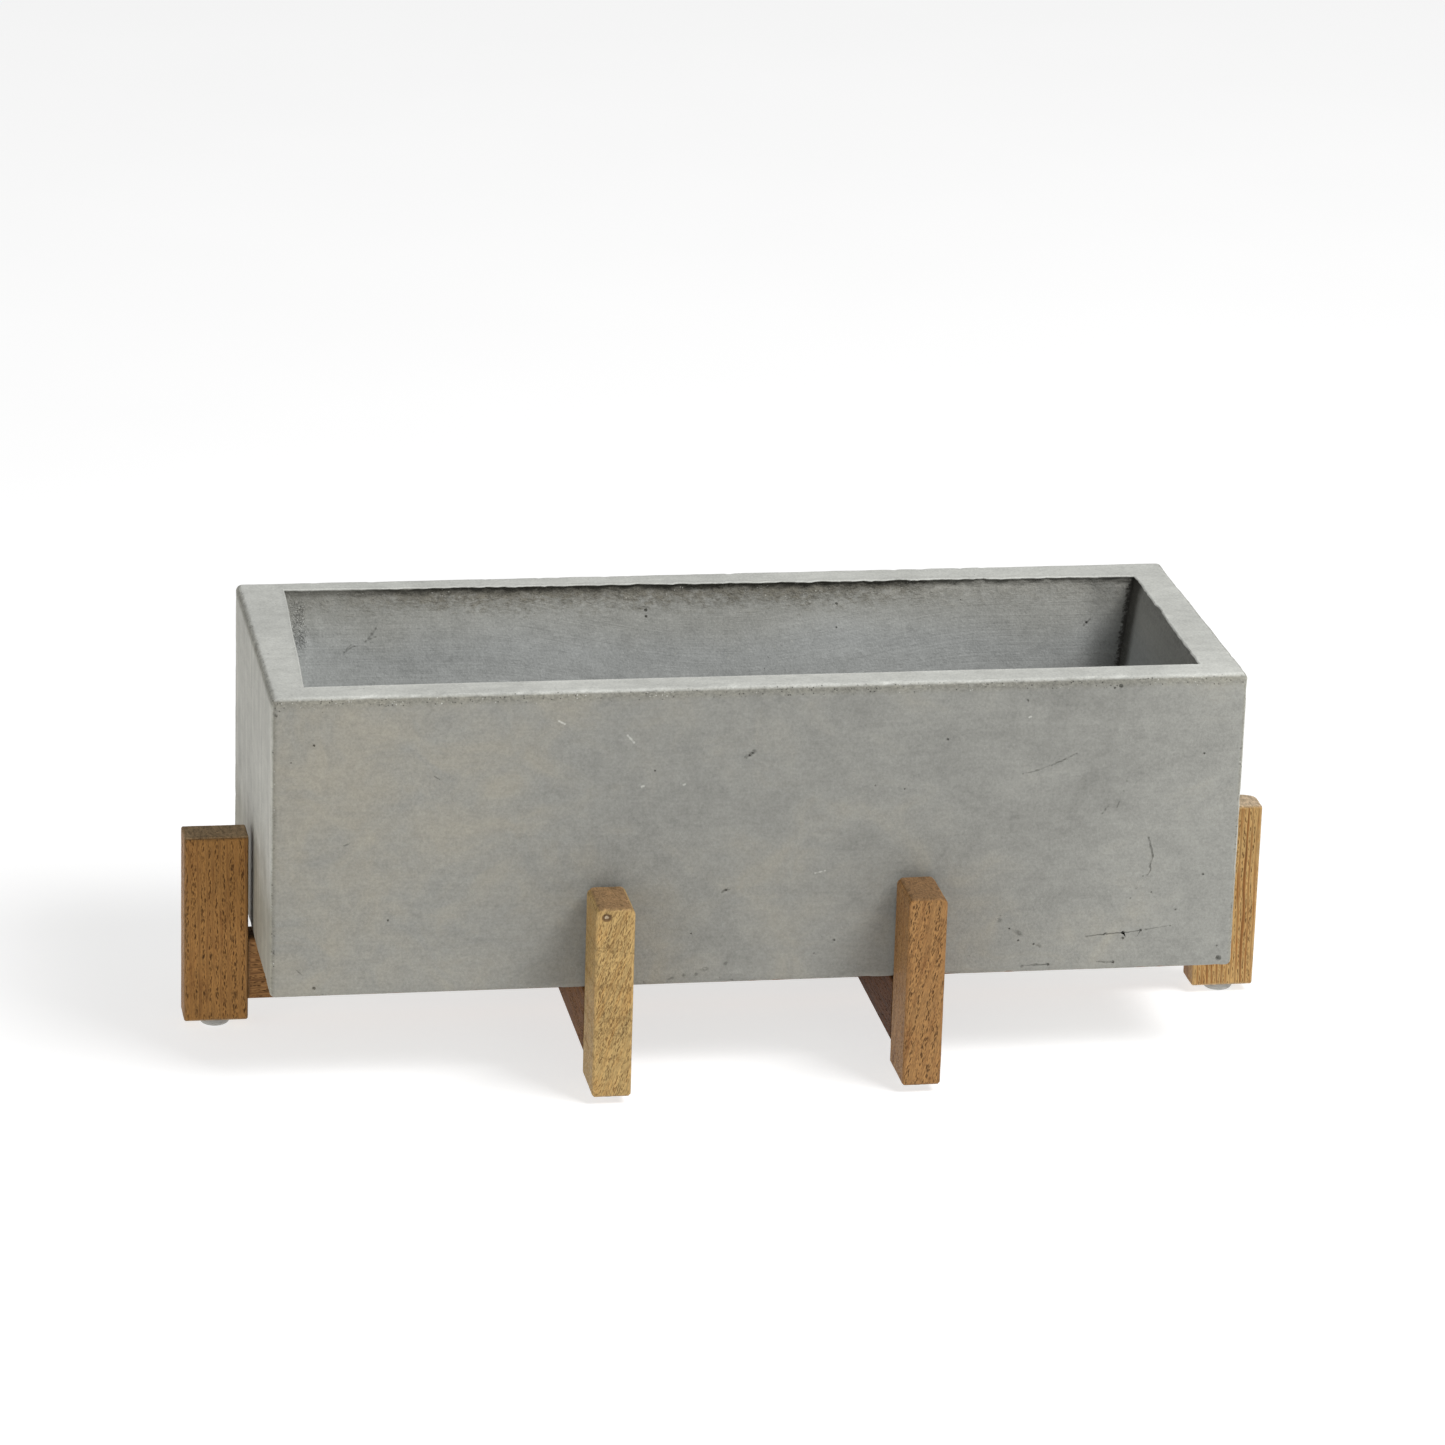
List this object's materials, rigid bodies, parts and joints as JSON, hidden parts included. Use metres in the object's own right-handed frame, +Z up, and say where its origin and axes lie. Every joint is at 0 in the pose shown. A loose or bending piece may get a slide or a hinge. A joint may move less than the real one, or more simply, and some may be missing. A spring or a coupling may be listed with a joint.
{
  "type": "raised planter",
  "caption": "Rectangular cast-concrete planter trough resting loose in an oak cradle of halved rails with dowelled legs and round plastic glides.",
  "frame": {"origin": "on the ground, under the middle of the planter", "axes": "+X along the trough to its right end, +Y to the back, +Z up"},
  "size_m": [0.686, 0.318, 0.251],
  "materials": {
    "concrete": "matte sealed grey cast concrete, smooth with pinholes and cloudy mottling",
    "oak_rail": "oiled oak, open pores, shaded red-brown",
    "oak_brown": "oiled oak, open pores, mid brown",
    "oak_golden": "oiled oak, open pores, golden",
    "oak_pale": "oiled oak, open pores, pale golden",
    "beech": "plain beech dowel",
    "glide_plastic": "translucent off-white nylon",
    "nail_steel": "bright wire nail"
  },
  "bodies": {
    "cradle": {"long_rail": "oak_rail", "cross_rail_left": "oak_rail", "cross_rail_right": "oak_rail", "end_leg_left": "oak_brown", "end_leg_right": "oak_golden", "front_leg_left": "oak_pale", "front_leg_right": "oak_brown", "back_leg_left": "oak_brown", "back_leg_right": "oak_golden", "dowels_end_left": "beech", "dowels_end_right": "beech", "dowels_front_left": "beech", "dowels_front_right": "beech", "dowels_back_left": "beech", "dowels_back_right": "beech", "glide_end_left": "glide_plastic", "glide_end_right": "glide_plastic", "glide_front_left": "glide_plastic", "glide_front_right": "glide_plastic", "glide_back_left": "glide_plastic", "glide_back_right": "glide_plastic", "glide_nails": "nail_steel"},
    "planter": {"trough": "concrete"}
  },
  "joints": [
    {"name": "trough_lift", "type": "slide", "parent": "cradle", "child": "planter", "axis": [0, 0, 1], "range_m": [0, 0.12]}
  ]
}
